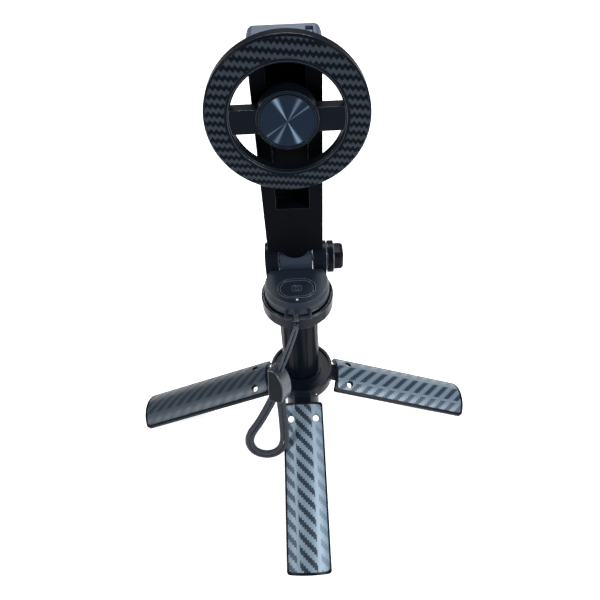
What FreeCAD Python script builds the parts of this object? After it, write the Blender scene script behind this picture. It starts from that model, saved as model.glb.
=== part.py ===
import FreeCAD, Part
import math
import os

os.makedirs("parts", exist_ok=True)
V = FreeCAD.Vector

# Driving sizes in mm.  +Z is up, the column stands on the origin, the front is -Y.
FIT = 0.05                                   # running clearance, radial
HINGE_Z, HINGE_R, TILT_LEG = 42.4, 15.0, 23.7
LEG_L, LEG_W0, LEG_W1, LEG_RO, LEG_RI = 92.9, 22.2, 23.5, 17.3, 15.1
FILM, PIN_R, BARREL_R, TONGUE_W = 0.5, 1.0, 2.6, 9.0
HUB_R, HUB_Z0, HUB_Z1 = 17.7, 39.4, 48.4
TUBE_RO, TUBE_Z0, TUBE_Z1 = 9.86, 8.0, 104.2
CUP_R, CUP_Z0, CUP_Z1 = 17.5, 104.7, 112.7
REM_R, REM_Z0, REM_Z1, REM_CUT = 14.5, 107.0, 120.6, 6.8
AX_Y, AX_Z = 15.1, 120.9                     # tilt axis
ARM_W, ARM_Y0, ARM_Y1, ARM_Z0, ARM_Z1 = 26.0, 9.4, 19.0, 130.7, 226.0
EAR_R, MOUNT_Y = 8.0, 12.7
RING_Z, RING_R, RING_RI, RING_T = 202.65, 30.0, 20.7, 5.5
CORD_D, STRING_D = 2.3, 1.2
SIDES = {"front": -90, "right": 0, "back": 90, "left": 180}


def box(x0, x1, y0, y1, z0, z1):
    return Part.makeBox(x1 - x0, y1 - y0, z1 - z0, V(x0, y0, z0))


def cyl(r, z0, z1, x=0, y=0):
    return Part.makeCylinder(r, z1 - z0, V(x, y, z0), V(0, 0, 1))


def cyl_x(r, x0, x1, y, z):
    return Part.makeCylinder(r, x1 - x0, V(x0, y, z), V(1, 0, 0))


def cyl_y(r, y0, y1, x, z):
    return Part.makeCylinder(r, y1 - y0, V(x, y0, z), V(0, 1, 0))


def tube(ro, ri, z0, z1):
    return cyl(ro, z0, z1).cut(cyl(ri, z0, z1))


def tube_y(ro, ri, y0, y1, x, z):
    return cyl_y(ro, y0, y1, x, z).cut(cyl_y(ri, y0, y1, x, z))


def rounded(x0, x1, y0, y1, z0, z1, r, along=V(0, 0, 1)):
    """Box with the four edges parallel to one direction rounded."""
    b = box(x0, x1, y0, y1, z0, z1)
    edges = [e for e in b.Edges if abs(abs(e.tangentAt(0).dot(along)) - 1) < 1e-6]
    return b.makeFillet(r, edges)


def prism(points, z0, z1, r=0):
    pts = [V(x, y, z0) for x, y in points]
    solid = Part.Face(Part.makePolygon(pts + [pts[0]])).extrude(V(0, 0, z1 - z0))
    if r:
        edges = [e for e in solid.Edges if abs(e.tangentAt(e.FirstParameter).z) > 0.999]
        solid = solid.makeFillet(r, edges)
    return solid


def fuse(first, *rest):
    return first.fuse(list(rest)).removeSplitter()


def export(name, shape):
    solid = shape.Solids[0] if len(shape.Solids) == 1 else shape
    if len(shape.Solids) != 1 or not shape.isValid():
        print("CHECK", name, len(shape.Solids), shape.isValid())
    solid.exportStep("parts/%s.step" % name)


# ---------------------------------------------------------------- legs
def leg_outline(u0, inset, r, z0, z1):
    """Plan of a leg, a little wider at the tip."""
    def half(u):
        return (LEG_W0 + (LEG_W1 - LEG_W0) * u / LEG_L) / 2 - inset
    u1 = LEG_L - inset
    return prism([(u0, -half(u0)), (u1, -half(u1)), (u1, half(u1)), (u0, half(u0))], z0, z1, r)


def film_outline(inset, r, z0, z1):
    """Plan of the film's bed: the leg's own plan, a narrow border smaller all round."""
    def half(u):
        return (LEG_W0 + (LEG_W1 - LEG_W0) * u / LEG_L) / 2 - 0.9 - inset
    u0, u1 = 6.2 + inset, LEG_L - 1.3 - inset
    return prism([(u0, -half(u0)), (u1, -half(u1)), (u1, half(u1)), (u0, half(u0))], z0, z1, r)


def along_leg(r, u0=-5, u1=LEG_L + 5):
    """Round bar along the leg; its line is the column line when folded."""
    return Part.makeCylinder(r, u1 - u0, V(u0, 0, -HINGE_R), V(1, 0, 0))


def place_leg(shape, angle):
    s = shape.copy()
    s.rotate(V(0, 0, 0), V(0, 1, 0), TILT_LEG)
    s.translate(V(HINGE_R, 0, HINGE_Z))
    s.rotate(V(0, 0, 0), V(0, 0, 1), angle)
    return s


holes = [cyl(1.75, -20, 20, 14, s * 6.9) for s in (-1, 1)]
bar = along_leg(LEG_RO).cut(along_leg(LEG_RI))
shell = bar.common(leg_outline(5, 0, 1.5, -4.2, 4))
shell = shell.cut(along_leg(LEG_RO + 2).cut(along_leg(LEG_RO - FILM))
                  .common(film_outline(0, 2.0, -6, 6)))
knuckle = Part.makeCylinder(BARREL_R, TONGUE_W, V(0, -TONGUE_W / 2, 0), V(0, 1, 0))
tongue = box(0, 16, -TONGUE_W / 2, TONGUE_W / 2, -2.2, 0.8)
shell = fuse(shell, tongue, knuckle)
shell = shell.cut(Part.makeCylinder(PIN_R + FIT, 20, V(0, -10, 0), V(0, 1, 0)))
for h in holes:
    shell = shell.cut(h)
film = along_leg(LEG_RO - 0.1).cut(along_leg(LEG_RO - FILM))
film = film.common(film_outline(0.1, 1.9, -6, 6))
for s in (-1, 1):
    film = film.cut(cyl(2.0, -20, 20, 14, s * 6.9))
foot = box(82, 91, -8.5, 8.5, -8, 2).common(along_leg(LEG_RI))
floor = box(-200, 200, -200, 200, -50, 0)

for side, angle in SIDES.items():
    export("leg_%s_shell" % side, place_leg(shell, angle))
    export("leg_%s_film" % side, place_leg(film, angle))
    export("leg_%s_foot" % side, place_leg(foot, angle).cut(floor))
    pin = Part.makeCylinder(PIN_R, 16.4, V(HINGE_R, -8.2, HINGE_Z), V(0, 1, 0))
    pin.rotate(V(0, 0, 0), V(0, 0, 1), angle)
    export("pin_%s" % side, pin)

# ---------------------------------------------------------------- hub and pole
hub = tube(HUB_R, TUBE_RO, HUB_Z0, HUB_Z1)
hub = hub.makeChamfer(0.5, [e for e in hub.Edges if abs(e.Length - 2 * math.pi * HUB_R) < 0.1])
hub = hub.cut(tube(16.2, 11.3, HUB_Z1 - 1.5, HUB_Z1 + 1))
for angle in SIDES.values():
    slot = fuse(box(HINGE_R, 20, -4.9, 4.9, HUB_Z0 - 1, 45.4), box(11.6, 20, -4.9, 4.9, HUB_Z0 - 1, 45.4))
    bore = Part.makeCylinder(PIN_R, 16.4, V(HINGE_R, -8.2, HINGE_Z), V(0, 1, 0))
    for tool in (slot, bore):
        tool.rotate(V(0, 0, 0), V(0, 0, 1), angle)
        hub = hub.cut(tool)
export("hub", hub)

# Sliding tubes, outside first: outer radius, wall, bottom
WALLS = [(TUBE_RO, 0.8, TUBE_Z0), (8.56, 0.7, 10.4), (7.36, 0.7, 10.8), (6.16, 0.7, 11.2)]
for i, (ro, wall, z0) in enumerate(WALLS):
    ri = ro - wall
    top = TUBE_Z1 if i < 3 else CUP_Z0 + 1.4
    pipe = tube(ro, ri, z0, top)
    collar = tube(ri, WALLS[i + 1][0] + FIT, TUBE_Z1 - 4, TUBE_Z1) if i < 3 else None
    if i == 0:
        for a in (-110, -70, 20, 160, -20, -160):
            pipe = pipe.cut(cyl(0.55, HUB_Z1, TUBE_Z1, (ro + 0.2) * math.cos(math.radians(a)),
                                (ro + 0.2) * math.sin(math.radians(a))))
        export("pole_outer", fuse(pipe, collar))
        export("pole_plug", fuse(cyl(ri, TUBE_Z0, 10.0), cyl(TUBE_RO, TUBE_Z0 - 1.5, TUBE_Z0)))
    else:
        export("pole_stage_%d" % i, fuse(pipe, collar) if collar else pipe)
        export("pole_bush_%d" % i, tube(WALLS[i - 1][0] - WALLS[i - 1][1] - FIT, ro, z0, z0 + 6))

# ---------------------------------------------------------------- head cup and tilt ears
cup = cyl(CUP_R, CUP_Z0, CUP_Z1)
cup = cup.makeChamfer(0.6, [e for e in cup.Edges if abs(e.Length - 2 * math.pi * CUP_R) < 0.1])
cup = cup.cut(cyl(16.1, CUP_Z0 + 1.9, 200).cut(box(-20, 20, 7.4, 20, 90, 210)))
ears = []
for s in (-1, 1):
    a, b = sorted((s * 8.3, s * 14.8))
    neck = box(a, b, 7.4, AX_Y, CUP_Z0 + 1, AX_Z).common(cyl(CUP_R, 100, 130))
    ears += [cyl_x(EAR_R, a, b, AX_Y, AX_Z).common(box(-20, 20, 7.4, 30, 90, 140)), neck]
cup = fuse(cup, *ears)
cup = cup.cut(cyl_x(1.9 + FIT, -30, 30, AX_Y, AX_Z)).cut(cyl(6.16, 100, CUP_Z0 + 1.4))
cup = cup.cut(cyl_x(4.2, -14.8, -11.6, AX_Y, AX_Z))
export("head_cup", cup)
export("stage_seat", tube(6.16 - 0.7, 4.0, CUP_Z0 + 1.4 - 5, CUP_Z0 + 1.4))

# ---------------------------------------------------------------- remote
remote = fuse(cyl(15.6, REM_Z0, 117.6), Part.makeCone(15.6, REM_R, 2.6, V(0, 0, 117.6)),
              cyl(REM_R, 120.2, REM_Z1))
remote = remote.cut(box(-20, 20, REM_CUT, 20, 100, 130))
cavity = cyl(14.0, 108.2, 119.0).cut(box(-20, 20, REM_CUT - 1.2, 20, 100, 130))


def stadium(hw, r, z0, z1, y):
    return fuse(box(-hw + r, hw - r, y - r, y + r, z0, z1), cyl(r, z0, z1, -hw + r, y), cyl(r, z0, z1, hw - r, y))


BTN_Y = -5.2
body = remote.cut(cavity).cut(stadium(9.0, 6.1, 115, 125, BTN_Y))
body = body.cut(cyl(0.6, 115, 125, 0, BTN_Y - 7.0))
split = box(-20, 20, -20, 20, 100, 114.0)
base_half = body.common(split)
top_half = body.cut(split)
bail = fuse(cyl_x(0.9, -5.2, 5.6, -18.7, 115.3), cyl_y(0.9, -18.7, -13.8, -5.2, 115.3),
            cyl_y(0.9, -18.7, -13.8, 5.6, 115.3),
            Part.makeSphere(0.9, V(-5.2, -18.7, 115.3)), Part.makeSphere(0.9, V(5.6, -18.7, 115.3)))
export("remote_base", base_half)
export("remote_top", fuse(top_half, bail))
export("remote_frame", stadium(9.0, 6.1, 119.1, 120.75, BTN_Y).cut(stadium(8.1, 5.2, 119, 121, BTN_Y)))
export("remote_board", cyl(13.3, 111.4, 112.6).cut(box(-20, 20, 4.6, 20, 100, 130)))
export("remote_posts", fuse(cyl(12.9, 110.9, 111.4).cut(box(-20, 20, 4.6, 20, 100, 130)),
                            *[cyl(0.9, 108.2, 111.0, x, y) for x in (-10.6, 10.6) for y in (-4, 3.5)]))
export("remote_cell", cyl(8.0, 108.3, 110.7, 0, -3.6))
export("remote_switch", cyl(2.4, 112.6, 114.6, 0, BTN_Y))
export("remote_lamp", cyl(0.6, 112.6, REM_Z1 - 0.1, 0, BTN_Y - 7.0))
button = fuse(stadium(8.05, 5.15, 118.2, 120.5, BTN_Y), cyl(1.6, 115.0, 118.4, 0, BTN_Y))
export("remote_button", button.cut(tube(2.2, 1.7, 120.3, 121).translated(V(0, BTN_Y, 0))))

# ---------------------------------------------------------------- tilt bolt and knob
paddle = rounded(18.4, 23.2, AX_Y - 5.0, AX_Y + 5.0, AX_Z - 5.4, AX_Z + 5.4, 2.4, V(1, 0, 0))
paddle = paddle.makeFillet(1.9, [e for e in paddle.Edges if min(v.X for v in e.Vertexes) > 23.1])
knob = fuse(cyl_x(7.9, 15.2, 18.4, AX_Y, AX_Z), paddle)
export("knob", knob.cut(cyl_x(1.9, 10, 21, AX_Y, AX_Z)))
export("tilt_bolt", cyl_x(1.9, -13.9, 21, AX_Y, AX_Z))
nut = cyl_x(4.2, -14.4, -12.0, AX_Y, AX_Z).cut(cyl_x(1.9 + FIT, -15, -11, AX_Y, AX_Z))
export("tilt_nut", nut)

# ---------------------------------------------------------------- arm
barrel = cyl_x(7.2, -8, 8, AX_Y, AX_Z).cut(cyl_x(1.9 + FIT, -9, 9, AX_Y, AX_Z))
for side, s in (("left", -1), ("right", 1)):
    a, b = sorted((s * 7.4, s * 8.0))
    washer = cyl_x(5.2, a, b, AX_Y, AX_Z)
    barrel = barrel.cut(washer)
    export("washer_" + side, washer.cut(cyl_x(1.9 + FIT, -9, 9, AX_Y, AX_Z)))
export("arm_barrel", barrel)

CH_W, CH_Z0, CH_Z1, CH_Y = 7.3, 156.0, 221.0, 17.6
arm = rounded(-ARM_W / 2, ARM_W / 2, ARM_Y0, ARM_Y1, ARM_Z0, ARM_Z1, 1.4, V(0, 1, 0))
arm = fuse(arm, box(-ARM_W / 2, ARM_W / 2, ARM_Y0, ARM_Y1, 200, ARM_Z1))
tongue = cyl_y(6.2, ARM_Y0, MOUNT_Y, 0, ARM_Z0 + 1.6).common(box(-8, 8, 0, 20, 120, ARM_Z0 + 1.6))
arm = fuse(arm, box(-8, 8, MOUNT_Y - 0.2, ARM_Y1, 124, ARM_Z0 + 2), tongue)
arm = arm.cut(cyl_x(7.2, -9, 9, AX_Y, AX_Z))
arm = arm.cut(rounded(-CH_W, CH_W, ARM_Y0 - 1, CH_Y, CH_Z0, CH_Z1, 1.0, V(0, 1, 0)))
arm = arm.cut(rounded(-9.4, 9.4, CH_Y + 0.6, 20, 140, 216, 2.0, V(0, 1, 0)))
export("arm_frame", arm)
export("arm_back", rounded(-9.3, 9.3, CH_Y + 0.6, ARM_Y1, 140.1, 215.9, 1.9, V(0, 1, 0)))
cap = rounded(-12.8, 12.8, ARM_Y0, ARM_Y1, 218, 228.5, 2.6, V(0, 1, 0)).cut(box(-20, 20, 0, 30, 210, ARM_Z1))
export("arm_cap", cap.cut(box(7.6, 10.0, ARM_Y0 + 1.5, ARM_Y1 - 2.5, 227.5, 231)))
mount = box(-CH_W, CH_W, MOUNT_Y, CH_Y, RING_Z - 9, RING_Z + 9)
export("ring_mount", mount.cut(cyl_y(3.0, 0, 30, 0, RING_Z)))
export("ring_axle", fuse(cyl_y(3.0, 1.6, CH_Y, 0, RING_Z), cyl_y(5.8, 1.6, 2.8, 0, RING_Z)))

# ---------------------------------------------------------------- phone ring
ring = tube_y(RING_R, RING_RI, 0.3, RING_T, 0, RING_Z)
ring = ring.makeChamfer(0.7, [e for e in ring.Edges if len(e.Vertexes) == 1])
bar_x = box(-RING_RI - 0.5, RING_RI + 0.5, 0.8, 5.2, RING_Z - 4.7, RING_Z + 4.7)
boss = fuse(cyl_y(11.3, 0.3, 6.4, 0, RING_Z), cyl_y(6.2, 6.4, 9.1, 0, RING_Z))
ring = fuse(ring, bar_x, boss)
ring = ring.cut(tube_y(29.3, 22.4, 0, 0.6, 0, RING_Z)).cut(tube_y(29.0, 22.0, 3.0, 6.0, 0, RING_Z))
ring = ring.cut(cyl_y(3.0 + FIT, 0, 12, 0, RING_Z)).cut(cyl_y(6.3, 1.2, 3.2, 0, RING_Z))
ring = ring.cut(cyl_y(10.4, -1, 1.2, 0, RING_Z))
export("ring_frame", ring)
export("ring_film", tube_y(29.2, 22.5, 0.1, 0.6, 0, RING_Z))
export("ring_magnets", tube_y(28.6, 22.4, 3.0, 4.6, 0, RING_Z))
export("ring_back", tube_y(29.0, 22.0, 4.6, RING_T, 0, RING_Z))
export("ring_disc", fuse(cyl_y(9.9, 0.2, 1.2, 0, RING_Z), tube_y(10.4, 9.9, 0.7, 1.2, 0, RING_Z)))


# ---------------------------------------------------------------- wrist strap
def route(points, d, least, name):
    """Cord along straight runs with a tangent arc at every corner."""
    pts = [V(*p) for p in points]
    edges, last, radii = [], pts[0], []
    for a, b, c in zip(pts, pts[1:], pts[2:]):
        u, w = b - a, c - b
        half = u.getAngle(w) / 2
        back = 0.45 * min(u.Length, w.Length)
        radii.append(back / math.tan(half))
        u.normalize()
        w.normalize()
        p, q = b - u * back, b + w * back
        out = b - (p + q) * 0.5
        out.normalize()
        way = b - out * (radii[-1] / math.cos(half) - radii[-1])
        edges += [Part.LineSegment(last, p).toShape(), Part.Arc(p, way, q).toShape()]
        last = q
    edges.append(Part.LineSegment(last, pts[-1]).toShape())
    wire = Part.Wire(edges)
    profile = Part.Wire([Part.makeCircle(d / 2, pts[0], pts[1] - pts[0])])
    solid = wire.makePipeShell([profile], True, True)
    share = solid.Volume / (math.pi * d * d / 4 * wire.Length)
    print("%s length %.1f radii %s (least %.1f) volume share %.3f" % (
        name, wire.Length, ["%.1f" % r for r in radii], least, share))
    export(name, solid)


def strap(x, s):
    """Point on the hanging plane of the strap: x across, s down it."""
    return (x, -21.4 - 0.4138 * s, 79.0 - 0.9104 * s)


def offset(points, gap):
    """Flat polygon moved sideways by a gap, corners mitred."""
    out = []
    for i, (x, s) in enumerate(points):
        steps = [(x - points[i - 1][0], s - points[i - 1][1])] if i else []
        if i < len(points) - 1:
            steps.append((points[i + 1][0] - x, points[i + 1][1] - s))
        normals = [(ds / math.hypot(dx, ds), -dx / math.hypot(dx, ds)) for dx, ds in steps]
        nx, ny = sum(n[0] for n in normals), sum(n[1] for n in normals)
        k = len(normals) / (nx * nx + ny * ny)
        out.append((x + gap * nx * k, s + gap * ny * k))
    return out


LOOP = [(-14.4, 16.5), (-21.5, 31.0), (-30.5, 43.0), (-28.4, 52.8), (-19.0, 56.2),
        (-10.8, 50.5), (-10.4, 36.0), (-11.2, 16.5)]
for name, gap in (("strap_loop_inner", 1.2), ("strap_loop_outer", -1.2)):
    route([strap(x, s) for x, s in offset(LOOP, gap)], CORD_D, 3 * CORD_D, name)

for name, g in (("string_left", -1), ("string_right", 1)):
    route([(-1.0 + 0.7 * g, -20.4, 110.2), (-4.6 + 1.1 * g, -20.6, 95.0), strap(-11.2 + 1.0 * g, 3.0)],
          STRING_D, 3 * STRING_D, name)

# Cord lock: a tablet with one bulging side, turned a little so that side faces right
face = [V(-16.6, 0, 0), V(-12.6, 0, 0), V(-8.0, 0, -9.5), V(-9.4, 0, -18.5), V(-17.2, 0, -18.5)]
outline = Part.Wire([Part.LineSegment(face[0], face[1]).toShape(), Part.Arc(face[1], face[2], face[3]).toShape(),
                     Part.LineSegment(face[3], face[4]).toShape(), Part.LineSegment(face[4], face[0]).toShape()])
lock = Part.Face(outline).extrude(V(0, 8.4, 0)).translated(V(1.2, -4.2, 0))
lock.rotate(V(-11.4, 0, 0), V(0, 0, 1), -30)
lock.rotate(V(0, 0, 0), V(1, 0, 0), -math.degrees(math.atan2(0.4138, 0.9104)))
lock.translate(V(0, -21.4, 79.0))
export("cord_lock", lock)
export("strap_hitch", cyl_x(1.9, -2.4, 0.4, -18.7, 115.3).cut(cyl_x(0.9, -3, 1, -18.7, 115.3)))
knot = fuse(cyl(1.5, 109.6, 113.0, -1.0, -20.4), Part.makeSphere(1.5, V(-1.0, -20.4, 109.6)),
            Part.makeSphere(1.5, V(-1.0, -20.4, 113.0)))
export("strap_knot", knot.cut(cyl_x(1.9, -6, 4, -18.7, 115.3)))
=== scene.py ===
import math

import bmesh
import bpy
from mathutils import Matrix, Vector


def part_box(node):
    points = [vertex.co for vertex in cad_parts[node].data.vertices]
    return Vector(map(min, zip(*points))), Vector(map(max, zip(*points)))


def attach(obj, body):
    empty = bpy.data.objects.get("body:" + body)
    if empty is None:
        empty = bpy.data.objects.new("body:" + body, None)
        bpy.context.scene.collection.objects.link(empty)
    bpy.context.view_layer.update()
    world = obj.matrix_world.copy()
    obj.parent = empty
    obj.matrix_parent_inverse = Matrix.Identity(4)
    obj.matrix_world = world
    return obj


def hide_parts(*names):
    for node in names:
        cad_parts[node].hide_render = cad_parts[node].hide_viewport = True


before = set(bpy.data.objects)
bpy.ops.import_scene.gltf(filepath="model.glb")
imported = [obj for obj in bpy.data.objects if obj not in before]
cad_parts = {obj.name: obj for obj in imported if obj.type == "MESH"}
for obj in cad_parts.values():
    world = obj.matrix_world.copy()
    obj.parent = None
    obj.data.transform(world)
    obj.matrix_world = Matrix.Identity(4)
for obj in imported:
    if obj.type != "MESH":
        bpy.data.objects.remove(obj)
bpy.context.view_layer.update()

bl_info = {
    "name": "Ring Phone Stand",
    "version": (1, 0, 0),
    "blender": (4, 5, 0),
    "location": "View3D > Sidebar > Phone Stand",
    "description": "Dresses the folding ring phone stand: plastics, printed films, wrist strap and stage",
    "category": "Object",
}

MM = 0.001
HINGE = (0.015, 0.0424, math.radians(23.7))          # radius, height and tilt of the legs
RING_Z = 0.20265
BUTTON_Y = -5.2 * MM
SIDES = {"front": -90, "right": 0, "back": 90, "left": 180}


# ------------------------------------------------------------------ shader expressions
class Flow:
    """A value socket that does arithmetic by adding Math nodes."""

    def __init__(self, graph, socket):
        self.graph, self.socket = graph, socket

    def math(self, operation, *others):
        values = {i: v for i, v in enumerate((self,) + others)}
        return self.graph.node("ShaderNodeMath", {"operation": operation}, values)

    def __add__(self, other):
        return self.math("ADD", other)

    def __sub__(self, other):
        return self.math("SUBTRACT", other)

    def __mul__(self, other):
        return self.math("MULTIPLY", other)

    def __truediv__(self, other):
        return self.math("DIVIDE", other)

    def __radd__(self, other):
        return self + other

    def __rmul__(self, other):
        return self * other

    def __rsub__(self, other):
        return self.graph.node("ShaderNodeMath", {"operation": "SUBTRACT"}, {0: other, 1: self})

    def over(self, limit):
        return self.math("GREATER_THAN", limit)

    def under(self, limit):
        return self.math("LESS_THAN", limit)

    def floor(self):
        return self.math("FLOOR")

    def fract(self):
        return self.math("FRACT")

    def size(self):
        return self.math("ABSOLUTE")

    def sine(self):
        return self.math("SINE")

    def root(self):
        return self.math("SQRT")

    def power(self, exponent):
        return self.math("POWER", exponent)

    def least(self, other):
        return self.math("MINIMUM", other)

    def most(self, other):
        return self.math("MAXIMUM", other)

    def ramp(self, low, high):
        return self.graph.node("ShaderNodeMapRange", {"interpolation_type": "SMOOTHSTEP"},
                               {"Value": self, "From Min": low, "From Max": high})


class Graph:
    """One material's node tree with a Principled shader."""

    def __init__(self, name, **constants):
        old = bpy.data.materials.get(name)
        if old:
            bpy.data.materials.remove(old)
        self.material = bpy.data.materials.new(name)
        self.material.use_nodes = True
        self.tree = self.material.node_tree
        self.shader = next(n for n in self.tree.nodes if n.type == "BSDF_PRINCIPLED")
        for key, value in constants.items():
            self.shader.inputs[key.replace("_", " ")].default_value = value

    def node(self, kind, settings=None, values=None, out=0):
        n = self.tree.nodes.new(kind)
        for key, value in (settings or {}).items():
            setattr(n, key, value)
        for key, value in (values or {}).items():
            self.feed(n.inputs[key], value)
        return Flow(self, n.outputs[out])

    def feed(self, socket, value):
        if isinstance(value, Flow):
            self.tree.links.new(value.socket, socket)
        else:
            socket.default_value = value

    def set(self, name, value):
        self.feed(self.shader.inputs[name], value)

    def axes(self):
        """The piece's own coordinates, whole and as x, y and z."""
        place = self.node("ShaderNodeTexCoord", out=3)
        split = self.node("ShaderNodeSeparateXYZ", values={0: place})
        return place, [Flow(self, split.socket.node.outputs[i]) for i in range(3)]

    def noise(self, place, scale, detail=2.0, roughness=0.5):
        return self.node("ShaderNodeTexNoise", values={"Vector": place, "Scale": scale, "Detail": detail,
                                                       "Roughness": roughness})

    def join(self, x, y, z):
        return self.node("ShaderNodeCombineXYZ", values={0: x, 1: y, 2: z})

    def blend(self, share, a, b):
        return self.node("ShaderNodeMix", {"data_type": "RGBA"}, {0: share, 6: a, 7: b}, out=2)

    def relief(self, height, strength=0.3, distance=0.0002):
        """Bump from a height value; the distance is in metres."""
        self.set("Normal", self.node("ShaderNodeBump", values={"Height": height, "Strength": strength,
                                                               "Distance": distance}))


def rgba(colour, gain=1.0):
    """Colour for a shader socket, lightened or darkened by a gain."""
    return tuple(c * gain for c in colour[:3]) + (1.0,)


def moulded(name, colour, rough, grain, scratch=0.0, shine=0.5):
    """Moulded plastic: fine spark grain, a little cloudiness, handling marks."""
    g = Graph(name, Specular_IOR_Level=shine)
    place, (x, y, z) = g.axes()
    cloud = g.noise(place, 60, 3)
    fine = g.noise(place, 2600, 2, 0.6)
    marks = g.noise(g.join(x * 900, y * 900, z * 60), 1.0, 3, 0.7).ramp(0.60, 0.72)
    g.set("Base Color", g.blend(cloud, rgba(colour, 0.75), rgba(colour, 1.3)))
    g.set("Roughness", rough + (cloud - 0.5) * 0.12 + marks * scratch)
    g.relief(fine + marks * -0.2, grain, 0.00006)
    return g.material


def anodised(name, colour, rough):
    """Drawn tube: fine lines along its length under a satin coat."""
    g = Graph(name, Specular_IOR_Level=0.03)
    place, (x, y, z) = g.axes()
    lines = g.noise(g.join(x * 2400, y * 2400, z * 30), 1.0, 3, 0.6)
    cloud = g.noise(place, 90, 2)
    g.set("Base Color", g.blend(cloud, rgba(colour, 0.8), rgba(colour, 1.35)))
    g.set("Roughness", rough + (lines - 0.5) * 0.2)
    g.relief(lines, 0.15, 0.00005)
    return g.material


def steel(name, colour, rough, axis):
    """Turned steel with rings round one axis."""
    g = Graph(name, Metallic=1.0)
    _, xyz = g.axes()
    rings = g.noise(g.join(xyz[axis] * 4000, 0.0, 0.0), 1.0, 2)
    g.set("Base Color", g.blend(rings, rgba(colour, 0.8), rgba(colour)))
    g.set("Roughness", rough + (rings - 0.5) * 0.2)
    g.relief(rings, 0.1, 0.00003)
    return g.material


def plain_fine(name, colour, rough, metallic=0.0, scale=700, shine=0.5):
    """Plain finish with a fine speckle in colour, gloss and relief."""
    g = Graph(name, Metallic=metallic, Specular_IOR_Level=shine)
    place, _ = g.axes()
    n = g.noise(place, scale, 3)
    g.set("Base Color", g.blend(n, rgba(colour, 0.7), rgba(colour, 1.25)))
    g.set("Roughness", rough + (n - 0.5) * 0.2)
    g.relief(n, 0.2, 0.00008)
    return g.material


def leg_film(name, side, light, dark, sheen):
    """Printed carbon weave: three columns of stair-stepped diagonal bands along the leg."""
    g = Graph(name, Metallic=0.2, Specular_IOR_Level=0.3)
    place, (x, y, z) = g.axes()
    a = math.radians(SIDES[side])
    r, h, t = HINGE
    out = x * math.cos(a) + y * math.sin(a) - r
    along = (out * math.cos(t) - (z - h) * math.sin(t)) * 1000.0
    across = (y * math.cos(a) - x * math.sin(a)) * 1000.0
    step, slope, pitch, cover = 1.15, 1.05, 7.3, 0.48
    stair = ((across + 50.0) / step).floor() * step
    band = ((along - stair * slope + 100.0) / pitch).fract().under(cover)
    columns = across.size().under(4.6) + across.under(-6.0) * 0.8 + across.over(6.6) * 0.4
    wobble = g.noise(place, 900, 2)
    mask = band * columns * (0.82 + wobble * 0.3)
    cloud = g.noise(place, 45, 2)
    base = g.blend(cloud * 0.6 + wobble * 0.4, rgba(light, 0.82), rgba(light, 1.12))
    g.set("Base Color", g.blend(mask, base, rgba(dark)))
    g.set("Roughness", sheen + mask * 0.12 + (wobble - 0.5) * 0.1)
    g.relief(mask * 0.5 + wobble * 0.25, 0.25, 0.00008)
    return g.material


def ring_film(name, light, dark):
    """Printed carbon weave: toothed stripes across the ring."""
    g = Graph(name, Specular_IOR_Level=0.03)
    _, (x, _, z) = g.axes()
    u, v = x * 1000.0, (z - RING_Z) * 1000.0
    tooth_width, tooth_height, tilt, pitch = 1.9, 1.1, 0.12, 3.4
    tooth = ((u / tooth_width).fract() - 0.5).size() * 2.0
    stripe = ((v + u * tilt + tooth * tooth_height + 200.0) / pitch).fract()
    mask = stripe.ramp(0.42, 0.50) * (1.0 - stripe.ramp(0.92, 1.0))
    threads = g.noise(g.join(u * 2.2, 0.0, v * 9.0), 1.0, 3, 0.7)
    base = g.blend(threads, rgba(light, 0.7), rgba(light, 1.35))
    g.set("Base Color", g.blend(mask, rgba(dark), base))
    g.set("Roughness", 0.42 - mask * 0.06 + (threads - 0.5) * 0.2)
    g.relief(mask * 0.6 + threads * 0.4, 0.3, 0.00008)
    return g.material


def turned_disc(name, colour, fan_highlight_colour):
    """Lathe-turned disc: fine circles, and painted highlights: light fans and streaks of reflection mixed
    into its colour.
    """
    g = Graph(name, Metallic=0.9, Specular_IOR_Level=0.2)
    _, (x, _, z) = g.axes()
    v = z - RING_Z
    radius = (x * x + v * v).root() * 1000.0
    angle = g.node("ShaderNodeMath", {"operation": "ARCTAN2"}, {0: v, 1: x})
    circles = g.noise(g.join(radius * 16.0, 0.0, 0.0), 1.0, 2)
    # painted highlight: three fans with streaks, kept inside the disc's edge, blend the colour towards the
    # highlight colour
    wide = ((angle - 1.22) * 2.0).sine().most(0.0).power(50.0) * 0.75
    soft = ((angle - 0.26) * 2.0).sine().most(0.0).power(60.0) * 0.35
    thin = ((angle + 0.17) * 2.0).sine().most(0.0).power(400.0) * 0.35
    highlight_streaks = g.noise(g.join(angle * 14.0, 0.0, 0.0), 1.0, 3, 0.6)
    glow = (wide + soft + thin) * (0.55 + highlight_streaks * 0.8)
    inside = 1.0 - radius.ramp(9.2, 9.8)
    shine = (glow * inside + circles * 0.03).least(1.0)
    g.set("Base Color", g.blend(shine, rgba(colour), rgba(fan_highlight_colour)))
    g.set("Roughness", 0.34 + circles * 0.16)
    g.relief(circles, 0.25, 0.00004)
    return g.material


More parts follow.
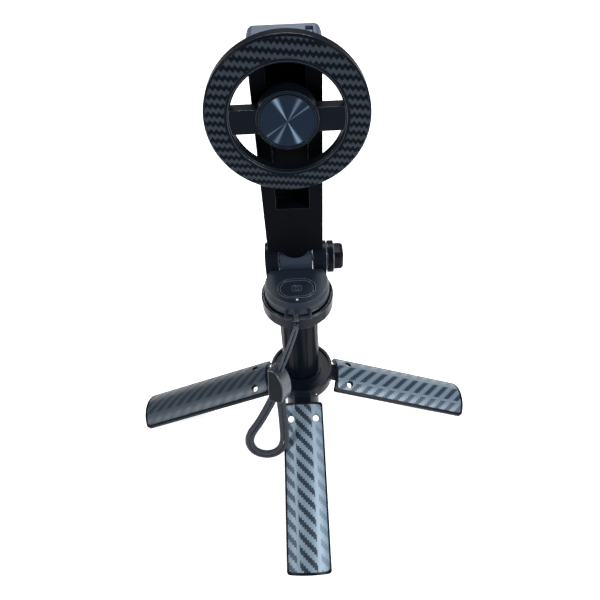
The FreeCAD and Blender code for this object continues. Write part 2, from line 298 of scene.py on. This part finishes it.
def braid(name, colour, pitch, turns):
    """Braided cord: crossing diagonal yarns; runs on the tube's own UV map."""
    g = Graph(name, Sheen_Weight=0.15, Specular_IOR_Level=0.3)
    uv = g.node("ShaderNodeUVMap", {"uv_map": "run"})
    split = g.node("ShaderNodeSeparateXYZ", values={0: uv})
    u = Flow(g, split.socket.node.outputs[0])
    v = Flow(g, split.socket.node.outputs[1])
    one = ((u / pitch + v * turns) * math.pi).sine().size()
    two = ((u / pitch - v * turns) * math.pi).sine().size()
    yarn_and_groove_shade = one.least(two)
    fibre = g.noise(g.join(u * 3000, v * 40, 0.0), 1.0, 2)
    # painted shade: the colour darkens along the grooves between the yarns; the fibre speckle is the cord's
    # own tone
    g.set("Base Color", g.blend(yarn_and_groove_shade * 0.75 + fibre * 0.25, rgba(colour, 0.35), rgba(colour, 1.9)))
    g.set("Roughness", 0.78 + (fibre - 0.5) * 0.1)
    g.relief(yarn_and_groove_shade + fibre * 0.3, 0.6, 0.0002)
    return g.material


# ------------------------------------------------------------------ mesh helpers
def link(mesh, name):
    """New object of that name in the scene."""
    obj = bpy.data.objects.new(name, mesh)
    bpy.context.scene.collection.objects.link(obj)
    return obj


def shade(obj, angle=35.0):
    """Smooth shading, kept sharp at edges steeper than the angle."""
    mesh = obj.data
    mesh.polygons.foreach_set("use_smooth", [True] * len(mesh.polygons))
    mesh.set_sharp_from_angle(angle=math.radians(angle))


def edge_highlight_plastic():
    """Shinier plastic of the rounded edges, its colour the shell's made four times lighter as a painted
    highlight; made when the first piece asks for it.
    """
    made = bpy.data.materials.get("edge_highlight_plastic")
    colour = tuple(c * 4.0 for c in settings("stand_plastic").shell)
    return made or moulded("edge_highlight_plastic", colour, 0.26, 0.05, 0.05, 0.7)


def eased(node, width, body, finish, segments=3, limit=30.0):
    """Copy of a hard CAD shape with its edges rounded, standing for that node."""
    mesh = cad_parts[node].data.copy()
    bm = bmesh.new()
    bm.from_mesh(mesh)
    bmesh.ops.remove_doubles(bm, verts=bm.verts, dist=1e-6)
    bmesh.ops.dissolve_limit(bm, angle_limit=math.radians(0.6), verts=bm.verts, edges=bm.edges)
    bm.to_mesh(mesh)
    bm.free()
    obj = link(mesh, node + "_eased")
    bevel = obj.modifiers.new("edges", "BEVEL")
    bevel.width, bevel.segments, bevel.limit_method = width, segments, "ANGLE"
    bevel.angle_limit = math.radians(limit)
    bevel.use_clamp_overlap = True
    bevel.harden_normals = True
    # the bevel's faces take the second slot: real extra gloss and a painted edge highlight
    bevel.material = 1
    shade(obj, 31)
    mesh.materials.clear()
    mesh.materials.append(finish)
    mesh.materials.append(edge_highlight_plastic())
    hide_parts(node)
    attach(obj, body)
    return obj


def route_points(points):
    """Even points along the smooth line that hangs from the given control points."""
    curve = bpy.data.curves.new("route", "CURVE")
    curve.dimensions, curve.resolution_u = "3D", 24
    spline = curve.splines.new("NURBS")
    spline.points.add(len(points) - 1)
    for p, co in zip(spline.points, points):
        p.co = tuple(co) + (1.0,)
    spline.order_u = 3
    spline.use_endpoint_u = True
    obj = link(curve, "route")
    bpy.context.view_layer.update()
    mesh = bpy.data.meshes.new_from_object(obj)
    path = [v.co.copy() for v in mesh.vertices]
    bpy.data.objects.remove(obj)
    bpy.data.curves.remove(curve)
    bpy.data.meshes.remove(mesh)
    return path


def tube(name, path, radius, around=20, lobes=0, twist=0.0, depth=0.0):
    """Round tube along a path, with a run map: metres along and turns round."""
    verts, faces, lengths = [], [], [0.0]
    for a, b in zip(path, path[1:]):
        lengths.append(lengths[-1] + (b - a).length)
    tangent = (path[1] - path[0]).normalized()
    side = tangent.orthogonal().normalized()
    for i, p in enumerate(path):
        t = (path[min(i + 1, len(path) - 1)] - path[max(i - 1, 0)]).normalized()
        side = (side - t * side.dot(t)).normalized()
        up = t.cross(side)
        for k in range(around):
            a = 2 * math.pi * k / around
            wave = abs(math.sin(lobes * 0.5 * (a + twist * lengths[i]))) if lobes else 1.0
            cross = abs(math.sin(lobes * 0.5 * (a - twist * lengths[i]))) if lobes else 1.0
            r = radius * (1 - depth * (1 - max(wave, cross)))
            verts.append(p + (side * math.cos(a) + up * math.sin(a)) * r)
    for i in range(len(path) - 1):
        for k in range(around):
            n = (k + 1) % around
            faces.append((i * around + k, i * around + n, (i + 1) * around + n, (i + 1) * around + k))
    faces.append(tuple(range(around - 1, -1, -1)))
    faces.append(tuple((len(path) - 1) * around + k for k in range(around)))
    mesh = bpy.data.meshes.new(name)
    mesh.from_pydata(verts, [], faces)
    run = mesh.uv_layers.new(name="run")
    for poly in mesh.polygons[:-2]:
        i, k = divmod(poly.index, around)
        for loop, (di, dk) in zip(poly.loop_indices, ((0, 0), (0, 1), (1, 1), (1, 0))):
            run.data[loop].uv = (lengths[i + di], (k + dk) / around)
    mesh.update()
    obj = link(mesh, name)
    shade(obj, 60)
    return obj


def extruded_outline(name, loops, z0, z1):
    """Thin raised line work from closed outlines, each a pair (outer, inner)."""
    bm = bmesh.new()
    for outer, inner in loops:
        rings = [[bm.verts.new((x, y, z)) for x, y in loop] for loop, z in
                 ((outer, z0), (outer, z1), (inner, z1), (inner, z0))]
        n = len(outer)
        for a, b in zip(rings, rings[1:] + rings[:1]):
            for k in range(n):
                bm.faces.new((a[k], a[(k + 1) % n], b[(k + 1) % n], b[k]))
    mesh = bpy.data.meshes.new(name)
    bm.to_mesh(mesh)
    bm.free()
    obj = link(mesh, name)
    shade(obj)
    return obj


def ring_loop(x, y, r, n=32):
    """Round outline."""
    turns = [2 * math.pi * k / n for k in range(n)]
    return [(x + r * math.cos(a), y + r * math.sin(a)) for a in turns]


def pill(hx, hy):
    """Outline of the button's shape: a flat oval with round ends."""
    return round_box(0, BUTTON_Y, hx, hy, hy - 0.01 * MM, 16)


def round_box(x, y, hx, hy, r, n=6):
    """Outline of a box with rounded corners, half as wide as hx and half as high as hy."""
    out = []
    corners = ((hx - r, hy - r, 0), (-hx + r, hy - r, 90), (-hx + r, -hy + r, 180), (hx - r, -hy + r, 270))
    for cx, cy, start in corners:
        for k in range(n + 1):
            a = math.radians(start + 90 * k / n)
            out.append((x + cx + r * math.cos(a), y + cy + r * math.sin(a)))
    return out


# ------------------------------------------------------------------ settings
class PlasticSettings(bpy.types.PropertyGroup):
    shell: bpy.props.FloatVectorProperty(name="Shell", description="Colour of the moulded shells", size=3,
                                         subtype="COLOR", min=0, max=1, default=(0.0040, 0.0062, 0.0105))
    arm: bpy.props.FloatVectorProperty(name="Arm", description="Colour of the flat arm", size=3,
                                       subtype="COLOR", min=0, max=1, default=(0.0016, 0.0021, 0.0032))
    tube: bpy.props.FloatVectorProperty(name="Pole", description="Colour of the anodised pole", size=3,
                                        subtype="COLOR", min=0, max=1, default=(0.0022, 0.0036, 0.0060))
    edge: bpy.props.FloatProperty(name="Edge radius", description="Rounding of the shells' edges",
                                  default=0.35 * MM, min=0, unit="LENGTH")


class FilmSettings(bpy.types.PropertyGroup):
    ring_light: bpy.props.FloatVectorProperty(name="Ring stripe", description="Light stripe of the ring film",
                                              size=3, subtype="COLOR", min=0, max=1,
                                              default=(0.022, 0.027, 0.035))
    ring_dark: bpy.props.FloatVectorProperty(name="Ring ground", description="Dark stripe of the ring film",
                                             size=3, subtype="COLOR", min=0, max=1,
                                             default=(0.0012, 0.0030, 0.0062))
    leg_light: bpy.props.FloatVectorProperty(name="Leg ground", description="Ground of the leg film",
                                             size=3, subtype="COLOR", min=0, max=1,
                                             default=(0.155, 0.215, 0.275))
    leg_dark: bpy.props.FloatVectorProperty(name="Leg dash", description="Dashes of the leg film",
                                            size=3, subtype="COLOR", min=0, max=1,
                                            default=(0.009, 0.019, 0.034))


class StrapSettings(bpy.types.PropertyGroup):
    cord: bpy.props.FloatProperty(name="Loop cord", description="Diameter of each cord of the wrist loop",
                                  default=2.3 * MM, unit="LENGTH")
    string: bpy.props.FloatProperty(name="String", description="Diameter of the thin string",
                                    default=1.2 * MM, unit="LENGTH")
    colour: bpy.props.FloatVectorProperty(name="Cord colour", description="Colour of the braid", size=3,
                                          subtype="COLOR", min=0, max=1, default=(0.013, 0.017, 0.026))


class StageSettings(bpy.types.PropertyGroup):
    floor: bpy.props.FloatVectorProperty(name="Floor", description="Colour of the floor", size=3,
                                         subtype="COLOR", min=0, max=1, default=(0.93, 0.93, 0.935))
    key: bpy.props.FloatProperty(name="Key light", description="Power of the large soft light", default=6.0,
                                 min=0, unit="POWER")
    glow: bpy.props.FloatProperty(name="Floor glow", description="Light given off by the floor",
                                  default=0.62, min=0)
    air: bpy.props.FloatProperty(name="Room light", description="Strength of the even room light",
                                 default=0.22, min=0)
    width: bpy.props.FloatProperty(name="Floor width", description="Side of the square floor", default=6.0,
                                   unit="LENGTH")


def settings(name):
    """The scene's settings group of that name."""
    return getattr(bpy.context.scene, name)


# ------------------------------------------------------------------ operators
class STAND_OT_shells(bpy.types.Operator):
    """Round and finish the moulded shells: hub, cup, remote, knob, arm, ring and legs"""
    bl_idname = "stand.shells"
    bl_label = "Moulded shells"

    def execute(self, context):
        s = settings("stand_plastic")
        satin = moulded("satin_shell", s.shell, 0.36, 0.12, 0.10, 0.07)
        gloss = moulded("gloss_shell", s.shell, 0.26, 0.05, 0.12, 0.06)
        dull = moulded("arm_plastic", s.arm, 0.42, 0.12, 0.06, 0.02)
        joint = moulded("joint_plastic", tuple(c * 4.4 for c in s.shell), 0.34, 0.10, 0.08, 0.35)
        cap = moulded("cap_plastic", tuple(c * 9.0 for c in s.shell), 0.40, 0.08, 0.06, 0.35)
        face = moulded("remote_face", tuple(c * 2.7 for c in s.shell), 0.42, 0.14, 0.05, 0.18)
        ring = moulded("ring_shell", tuple(c * 0.7 for c in s.shell), 0.34, 0.06, 0.06, 0.03)
        black = moulded("knob_plastic", tuple(c * 0.5 for c in s.shell), 0.30, 0.08, 0.06, 0.05)
        inner = plain_fine("slide_plastic", (0.0012, 0.0016, 0.0024), 0.5, 0.0, 700, 0.03)
        e = s.edge
        eased("hub", e * 1.2, "base", satin)
        eased("head_cup", e, "head", gloss)
        eased("remote_base", e, "remote", satin)
        eased("remote_top", e * 1.6, "remote", face, 3, 15.0)
        eased("remote_frame", e * 0.4, "remote", gloss)
        eased("remote_button", e * 0.6, "button", face)
        eased("knob", e * 0.9, "knob", black)
        eased("arm_frame", e, "arm", dull)
        eased("arm_cap", e * 2.0, "arm", cap)
        eased("arm_barrel", e, "arm", joint)
        eased("ring_frame", e * 1.2, "ring", ring)
        for side in SIDES:
            eased("leg_%s_shell" % side, e * 0.9, "leg_" + side, gloss)
        for node in ("arm_back", "ring_mount", "ring_back", "pole_plug", "stage_seat", "remote_posts",
                     "remote_switch", "washer_left", "washer_right", "pole_bush_1", "pole_bush_2",
                     "pole_bush_3"):
            put(node, inner)
        return {"FINISHED"}


def put(node, finish):
    """Give a CAD node one finish all over."""
    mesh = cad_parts[node].data
    mesh.materials.clear()
    mesh.materials.append(finish)
    for poly in mesh.polygons:
        poly.material_index = 0


class STAND_OT_metals(bpy.types.Operator):
    """Finish the pole, pins, bolt, axle, magnet ring, cell and the turned disc"""
    bl_idname = "stand.metals"
    bl_label = "Pole and metal parts"

    def execute(self, context):
        s = settings("stand_plastic")
        pole = anodised("anodised_pole", s.tube, 0.24)
        for node in ("pole_outer", "pole_stage_1", "pole_stage_2", "pole_stage_3"):
            put(node, pole)
        for side in SIDES:
            axis = 0 if side in ("front", "back") else 1
            put("pin_" + side, steel("pin_steel_" + "xy"[axis], (0.35, 0.36, 0.38), 0.3, axis))
        put("tilt_bolt", steel("bolt_steel", (0.40, 0.41, 0.43), 0.32, 0))
        put("tilt_nut", steel("nut_steel", (0.30, 0.31, 0.33), 0.35, 0))
        put("ring_axle", steel("axle_steel", (0.40, 0.41, 0.43), 0.3, 1))
        put("ring_magnets", plain_fine("magnet_nickel", (0.42, 0.42, 0.44), 0.3, 1.0, 500))
        put("remote_cell", plain_fine("cell_steel", (0.55, 0.55, 0.55), 0.25, 1.0, 900))
        put("remote_board", plain_fine("board_green", (0.01, 0.10, 0.04), 0.45, 0.0, 600))
        put("remote_lamp", plain_fine("lamp_window", (0.75, 0.80, 0.86), 0.2, 0.0, 900))
        # the second colour is the painted highlight of the disc's fans
        put("ring_disc", turned_disc("turned_disc", (0.0045, 0.0100, 0.0200), (0.19, 0.27, 0.37)))
        return {"FINISHED"}


# Each leg's print: how light its ground is, a painted light and shade that makes the front leg lightest and
# the left darkest, and how rough its face
LEG_PRINT_LIGHT_AND_SHADE = (("front", 1.0, 0.42), ("right", 0.78, 0.40), ("back", 0.6, 0.42), ("left", 0.24, 0.36))


class STAND_OT_films(bpy.types.Operator):
    """Print the carbon-look films of the ring and the legs"""
    bl_idname = "stand.films"
    bl_label = "Printed films"

    def execute(self, context):
        s = settings("stand_film")
        put("ring_film", ring_film("ring_weave", s.ring_light, s.ring_dark))
        for side, gain, rough in LEG_PRINT_LIGHT_AND_SHADE:
            # painted light and shade: each leg's ground is scaled by its gain, and the darkest leg's dashes
            # are darkened as well
            light = tuple(c * gain for c in s.leg_light)
            dark = tuple(c * (1.0 if gain > 0.3 else 0.8) for c in s.leg_dark)
            put("leg_%s_film" % side, leg_film("leg_weave_" + side, side, light, dark, rough))
            put("leg_%s_foot" % side, plain_fine("foot_rubber", (0.012, 0.012, 0.014), 0.75, 0.0, 500))
        return {"FINISHED"}


class STAND_OT_icon(bpy.types.Operator):
    """Raise the plain camera sign on the remote's button, with light lines round the button and along its
    bezel as painted edge highlights
    """
    bl_idname = "stand.icon"
    bl_label = "Button sign"

    def execute(self, context):
        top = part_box("remote_button")[1].z
        y, w = BUTTON_Y, 0.16 * MM
        body = (round_box(0, y, 2.3 * MM, 1.6 * MM, 0.6 * MM),
                round_box(0, y, 2.3 * MM - w, 1.6 * MM - w, 0.5 * MM))
        lens = (ring_loop(0, y, 0.95 * MM), ring_loop(0, y, 0.95 * MM - w))
        finder_x, finder_y = -0.9 * MM, y + 1.95 * MM
        finder = (round_box(finder_x, finder_y, 0.6 * MM, 0.25 * MM, 0.12 * MM),
                  round_box(finder_x, finder_y, 0.6 * MM - w, 0.25 * MM - w * 0.8, 0.04 * MM))
        # painted highlight: light lines in the sign's colour along the button's edge and the bezel's rim
        # stand for those edges catching the light
        line_w = 0.20 * MM
        button_edge_highlight = (pill(7.9 * MM, 5.0 * MM), pill(7.9 * MM - line_w, 5.0 * MM - line_w))
        outlines = [body, lens, finder, button_edge_highlight]
        sign = extruded_outline("button_sign", outlines, top - 0.05 * MM, top + 0.07 * MM)
        sign.data.materials.append(plain_fine("sign_ink_and_edge_highlight", (0.10, 0.13, 0.17), 0.35, 0.0, 1500))
        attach(sign, "button")
        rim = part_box("remote_frame")[1].z
        edge = (pill(8.95 * MM, 6.05 * MM), pill(8.95 * MM - line_w, 6.05 * MM - line_w))
        line = extruded_outline("button_rim_highlight", [edge], rim - 0.05 * MM, rim + 0.05 * MM)
        line.data.materials.append(sign.data.materials[0])
        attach(line, "remote")
        return {"FINISHED"}


def strap(x, s):
    """Point on the strap's hanging plane: x across and s down it, in mm, given in metres."""
    return Vector((x, -21.4 - 0.4138 * s, 79.0 - 0.9104 * s)) * MM


# Middle of the tied knot and start of the thread wound round the eyelet, in mm
KNOT = Vector((-1.0, -20.4, 111.2))
HITCH = (-2.1, -18.7, 115.3)
HITCH_TURNS, HITCH_LENGTH, HITCH_R = 2.5, 2.3, 1.42
# Middle lines of the two cords of the loop: x across and s down the strap, in mm
LOOP_INNER = [(-13.32, 17.03), (-20.48, 31.66), (-29.22, 43.31), (-27.36, 51.91), (-19.19, 54.87),
              (-12.02, 49.88), (-11.6, 36.02), (-12.4, 16.46)]
LOOP_OUTER = [(-15.48, 15.97), (-22.52, 30.34), (-31.78, 42.69), (-29.44, 53.69), (-18.81, 57.53),
              (-9.58, 51.12), (-9.2, 35.98), (-10.0, 16.54)]


class STAND_OT_strap(bpy.types.Operator):
    """Hang the wrist strap: hitch, knot, two strings, cord lock and the double braided loop"""
    bl_idname = "stand.strap"
    bl_label = "Wrist strap"

    def execute(self, context):
        s = settings("stand_strap")
        loop_finish = braid("loop_braid", s.colour, 0.0016, 4.0)
        string_finish = braid("string_twist", tuple(c * 1.5 for c in s.colour), 0.0011, 2.0)
        rubber = moulded("lock_rubber", (0.007, 0.009, 0.012), 0.45, 0.2, 0.05, 0.06)
        lock = eased("cord_lock", 0.5 * MM, "remote", rubber)
        # painted light: the lock's right side and top, which face the lights, take the lighter edge plastic
        for poly in lock.data.polygons:
            poly.material_index = int(poly.normal.x > 0.3 or poly.normal.z > 0.8)
        knot_path = []
        for k in range(97):
            a = 2 * math.pi * k / 96
            knot_path.append(KNOT * MM + Vector((
                (math.sin(a) + 1.1 * math.sin(2 * a)) * 0.42, math.sin(3 * a) * 0.45,
                (math.cos(a) - 1.1 * math.cos(2 * a)) * 0.75)) * MM)
        knot = tube("strap_knot_tied", knot_path, 0.55 * MM, 14, 3, 2500, 0.12)
        wrap_path = []
        x, y, z = HITCH
        for k in range(121):
            a = 2 * math.pi * HITCH_TURNS * k / 120
            around = (y - HITCH_R * math.cos(a), z - HITCH_R * math.sin(a))
            wrap_path.append(Vector((x + HITCH_LENGTH * k / 120, *around)) * MM)
        wrap = tube("strap_hitch_wound", wrap_path, 0.46 * MM, 14, 3, 2500, 0.12)
        for obj, node in ((knot, "strap_knot"), (wrap, "strap_hitch")):
            obj.data.materials.append(string_finish)
            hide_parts(node)
            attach(obj, "remote")
        strings = []
        for side, g in (("left", -1), ("right", 1)):
            points = [Vector((-1.0 + 0.7 * g, -20.4, 110.2)) * MM,
                      Vector((-4.6 + 1.1 * g, -20.6, 95.0)) * MM,
                      strap(-11.2 + 1.0 * g, 3.0)]
            path = route_points(points)
            piece = tube("string_%s_twisted" % side, path, s.string / 2, 16, 3, 2200, 0.10)
            strings.append((piece, path, s.string, string_finish, "string_" + side))
        for label, flat in (("inner", LOOP_INNER), ("outer", LOOP_OUTER)):
            path = route_points([strap(x, d) for x, d in flat])
            piece = tube("loop_%s_braided" % label, path, s.cord / 2 * 1.06, 24, 8, 900, 0.06)
            strings.append((piece, path, s.cord, loop_finish, "strap_loop_" + label))
        for piece, path, width, finish, node in strings:
            piece.data.materials.append(finish)
            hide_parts(node)
            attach(piece, "remote")
            length = sum((b - a).length for a, b in zip(path, path[1:]))
            [lock, knot, wrap] if node == "string_left" else [lock]
        return {"FINISHED"}


# Each light: its place, the point it faces, its size, and its power as a share of the key light's
LIGHTS = (("key", (0.55, -0.42, 0.50), (0, 0, 0.11), (0.22, 0.45), 1.0),
          ("fill", (-0.60, -0.30, 0.50), (0, 0, 0.11), (0.16, 0.45), 0.55),
          ("over", (0.05, 0.45, 0.75), (0, 0, 0.14), (0.5, 0.3), 1.1))
# Camera: its place in metres, how far it looks down, its turn and its roll in degrees, and its lens in mm
CAMERA_PLACE = (0.00329, -0.1693, 0.30017)
CAMERA_DOWN, CAMERA_TURN, CAMERA_ROLL = 48.88, -0.72, -2.96
CAMERA_LENS = 31.17


class STAND_OT_stage(bpy.types.Operator):
    """Lay the pale floor, set the soft lights and stand the camera"""
    bl_idname = "stand.stage"
    bl_label = "Floor, lights and camera"

    def execute(self, context):
        s = settings("stand_stage")
        half = s.width / 2
        mesh = bpy.data.meshes.new("floor")
        corners = [(-half, -half, 0), (half, -half, 0), (half, half, 0), (-half, half, 0)]
        mesh.from_pydata(corners, [], [(0, 1, 2, 3)])
        floor = link(mesh, "floor")
        g = Graph("paper_floor", Roughness=0.9, Specular_IOR_Level=0.1, Emission_Color=(1, 1, 1, 1),
                  Emission_Strength=s.glow)
        place, _ = g.axes()
        g.set("Base Color", g.blend(g.noise(place, 3.0, 3), rgba(s.floor, 0.99), rgba(s.floor)))
        mesh.materials.append(g.material)
        world = bpy.data.worlds.new("studio")
        world.use_nodes = True
        back = next(n for n in world.node_tree.nodes if n.type == "BACKGROUND")
        back.inputs["Color"].default_value = (1.0, 1.0, 1.0, 1.0)
        back.inputs["Strength"].default_value = s.air
        context.scene.world = world
        for name, place, aim, size, share in LIGHTS:
            light = bpy.data.lights.new(name, "AREA")
            light.shape = "RECTANGLE"
            light.size, light.size_y = size
            light.energy = s.key * share
            lamp = link(light, name)
            lamp.location = place
            lamp.rotation_euler = (Vector(aim) - Vector(place)).to_track_quat("-Z", "Y").to_euler()
        down, turn, roll = (math.radians(a) for a in (CAMERA_DOWN, CAMERA_TURN, CAMERA_ROLL))
        look = Vector((math.sin(turn) * math.cos(down), math.cos(turn) * math.cos(down), -math.sin(down)))
        level = look.cross(Vector((0, 0, 1))).normalized()
        above = level.cross(look)
        right = level * math.cos(roll) + above * math.sin(roll)
        up = above * math.cos(roll) - level * math.sin(roll)
        camera = bpy.data.cameras.new("camera")
        camera.lens, camera.sensor_width, camera.clip_start = CAMERA_LENS, 36.0, 0.01
        eye = link(camera, "camera")
        turned = Matrix((right, up, -look)).transposed().to_4x4()
        eye.matrix_world = Matrix.Translation(CAMERA_PLACE) @ turned
        context.scene.camera = eye
        context.scene.view_settings.view_transform = "Standard"
        return {"FINISHED"}


class STAND_PT_panel(bpy.types.Panel):
    """Lists the stand's pieces in building order"""
    bl_label = "Ring phone stand"
    bl_idname = "STAND_PT_panel"
    bl_space_type = "VIEW_3D"
    bl_region_type = "UI"
    bl_category = "Phone Stand"

    def draw(self, context):
        for operator in OPERATORS:
            self.layout.operator(operator.bl_idname)
        for name, group in GROUPS:
            box = self.layout.box()
            owner = getattr(context.scene, name)
            for key in group.__annotations__:
                box.prop(owner, key)


GROUPS = (("stand_plastic", PlasticSettings), ("stand_film", FilmSettings), ("stand_strap", StrapSettings),
          ("stand_stage", StageSettings))
OPERATORS = (STAND_OT_stage, STAND_OT_strap, STAND_OT_shells, STAND_OT_metals, STAND_OT_films, STAND_OT_icon)


def register():
    for name, group in GROUPS:
        bpy.utils.register_class(group)
        setattr(bpy.types.Scene, name, bpy.props.PointerProperty(type=group))
    for cls in OPERATORS + (STAND_PT_panel,):
        bpy.utils.register_class(cls)


def unregister():
    for cls in reversed(OPERATORS + (STAND_PT_panel,)):
        bpy.utils.unregister_class(cls)
    for name, group in reversed(GROUPS):
        delattr(bpy.types.Scene, name)
        bpy.utils.unregister_class(group)


def main():
    register()
    bpy.ops.stand.stage()
    bpy.ops.stand.strap()
    bpy.ops.stand.shells()
    bpy.ops.stand.metals()
    bpy.ops.stand.films()
    bpy.ops.stand.icon()


if __name__ == "__main__":
    main()
